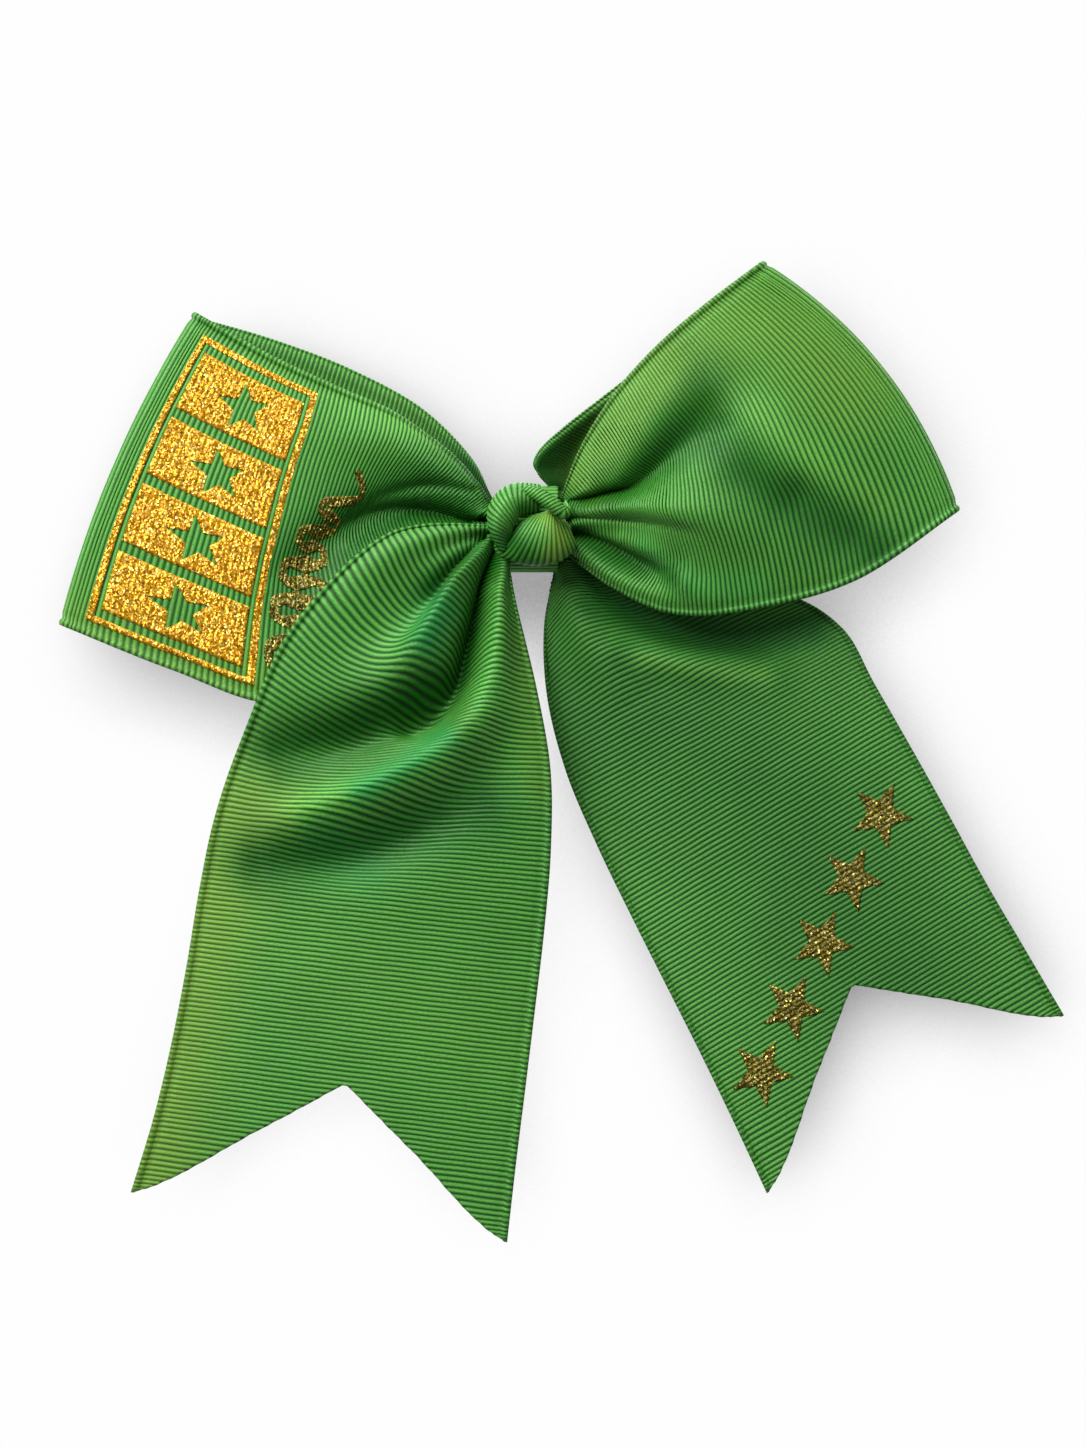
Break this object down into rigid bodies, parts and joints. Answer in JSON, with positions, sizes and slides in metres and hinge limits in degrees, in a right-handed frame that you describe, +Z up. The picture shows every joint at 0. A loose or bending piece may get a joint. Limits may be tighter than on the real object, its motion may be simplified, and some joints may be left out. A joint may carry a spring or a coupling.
{
  "type": "cheer hair bow",
  "caption": "Large grosgrain ribbon hair bow with two loops, two notched tails, a small centre knot, gold glitter shapes and an alligator clip behind.",
  "frame": {"origin": "between the clip's closed jaws, behind the middle of the knot, where the hair is gripped", "axes": "+Z up as worn, the bow's front faces -Y, +Y points back to the head, +X to the right as seen from the front"},
  "size_m": [0.222, 0.0332, 0.2148],
  "materials": {
    "grosgrain_ribbon": "ribbed polyester grosgrain",
    "gold_glitter": "bright gold glitter heat-press film",
    "olive_glitter": "dark gold glitter heat-press film",
    "clip_steel": "nickel-plated steel sheet",
    "pin_steel": "nickel-plated steel pin",
    "spring_steel": "drawn spring wire",
    "black_elastic": "braided elastic",
    "green_felt": "craft felt",
    "hot_melt_glue": "set hot-melt glue"
  },
  "bodies": {
    "bow_centre": {"centre_gather": "grosgrain_ribbon", "cinch_band": "black_elastic", "knot_wrap": "grosgrain_ribbon", "knot_fold": "grosgrain_ribbon", "knot_front": "grosgrain_ribbon", "knot_twist": "grosgrain_ribbon", "felt_backing": "green_felt", "glue_pad": "hot_melt_glue", "clip_liner": "grosgrain_ribbon", "clip_fixed_jaw": "clip_steel", "clip_pivot_pin": "pin_steel", "clip_spring": "spring_steel"},
    "left_loop": {"left_loop": "grosgrain_ribbon", "badge_outline": "gold_glitter", "badge_flourish": "olive_glitter", "badge_plate_1": "gold_glitter", "badge_plate_2": "gold_glitter", "badge_plate_3": "gold_glitter", "badge_plate_4": "gold_glitter"},
    "right_loop": {"right_loop": "grosgrain_ribbon"},
    "left_tail": {"left_tail": "grosgrain_ribbon"},
    "right_tail": {"right_tail": "grosgrain_ribbon", "tail_star_1": "olive_glitter", "tail_star_2": "olive_glitter", "tail_star_3": "olive_glitter", "tail_star_4": "olive_glitter", "tail_star_5": "olive_glitter"},
    "clip_jaw": {"clip_moving_jaw": "clip_steel"}
  },
  "joints": [
    {"name": "clip_open", "type": "hinge", "parent": "bow_centre", "child": "clip_jaw", "pos_m": [0.017, 0.0032, 0], "axis": [0, 0, -1], "range_deg": [0, 24], "stiffness_Nm_per_rad": 0.05, "springref_deg": -17.19},
    {"name": "left_tail_swing", "type": "hinge", "parent": "bow_centre", "child": "left_tail", "pos_m": [-0.0037, -0.013, -0.0093], "axis": [-0.9292, 0, 0.3697], "range_deg": [0, 35]},
    {"name": "right_tail_swing", "type": "hinge", "parent": "bow_centre", "child": "right_tail", "pos_m": [0.0046, -0.007, -0.0077], "axis": [0.8601, 0, 0.5101], "range_deg": [0, 25]},
    {"name": "left_loop_flex", "type": "hinge", "parent": "bow_centre", "child": "left_loop", "pos_m": [-0.0105, -0.0083, 0], "axis": [0, 0, -1], "range_deg": [0, 8], "stiffness_Nm_per_rad": 0.02},
    {"name": "right_loop_flex", "type": "hinge", "parent": "bow_centre", "child": "right_loop", "pos_m": [0.0105, -0.0114, 0], "axis": [0, 0, -1], "range_deg": [0, 12], "stiffness_Nm_per_rad": 0.02}
  ]
}
